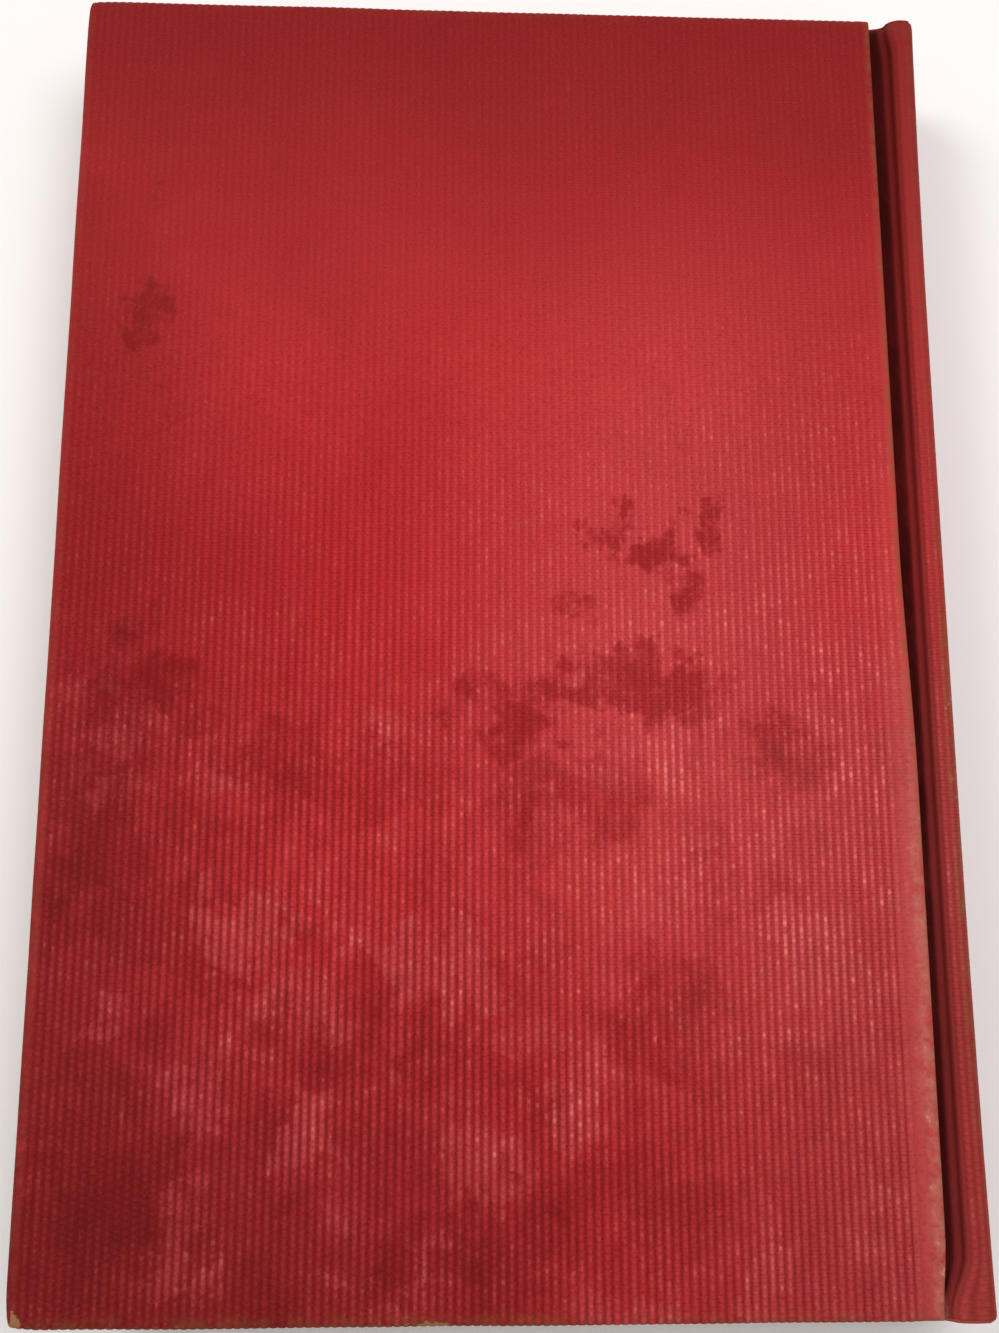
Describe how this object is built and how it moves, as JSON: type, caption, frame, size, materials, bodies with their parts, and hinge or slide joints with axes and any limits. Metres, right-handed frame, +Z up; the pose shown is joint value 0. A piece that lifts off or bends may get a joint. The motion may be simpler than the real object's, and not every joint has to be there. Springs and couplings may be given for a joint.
{
  "type": "hardback book",
  "caption": "Cloth-bound hardback book with a rounded spine, pressed joint grooves and covers that swing open on both sides of the sewn leaves.",
  "frame": {"origin": "middle of the book's footprint, on the surface that it lies on", "axes": "+X towards the spine, +Y towards the head of the leaves, +Z up out of the back cover"},
  "size_m": [0.1428, 0.21, 0.024],
  "materials": {
    "leaves": "uncoated, slightly yellowed",
    "gauze": "open cotton gauze set in glue",
    "lining_paper": "plain brown kraft",
    "headband_thread": "striped thread",
    "endpaper": "smooth uncoated",
    "spine_card": "plain card",
    "binders_board": "dense grey-brown board",
    "book_cloth": "ribbed plain-weave book cloth, worn"
  },
  "bodies": {
    "book_block": {"text_block": "leaves", "spine_gauze": "gauze", "spine_lining": "lining_paper", "head_band": "headband_thread", "tail_band": "headband_thread", "front_flyleaf": "endpaper", "back_flyleaf": "endpaper", "spine_inlay": "spine_card", "spine_cloth": "book_cloth"},
    "front_cover": {"front_board": "binders_board", "front_cloth": "book_cloth", "front_pastedown": "endpaper"},
    "back_cover": {"back_board": "binders_board", "back_cloth": "book_cloth", "back_pastedown": "endpaper"}
  },
  "joints": [
    {"name": "front_cover_hinge", "type": "hinge", "parent": "book_block", "child": "front_cover", "pos_m": [0.0669, 0, 0.00171], "axis": [0, -1, 0], "range_deg": [0, 179.5]},
    {"name": "back_cover_hinge", "type": "hinge", "parent": "book_block", "child": "back_cover", "pos_m": [0.0669, 0, 0.02225], "axis": [0, 1, 0], "range_deg": [0, 179.5]}
  ]
}
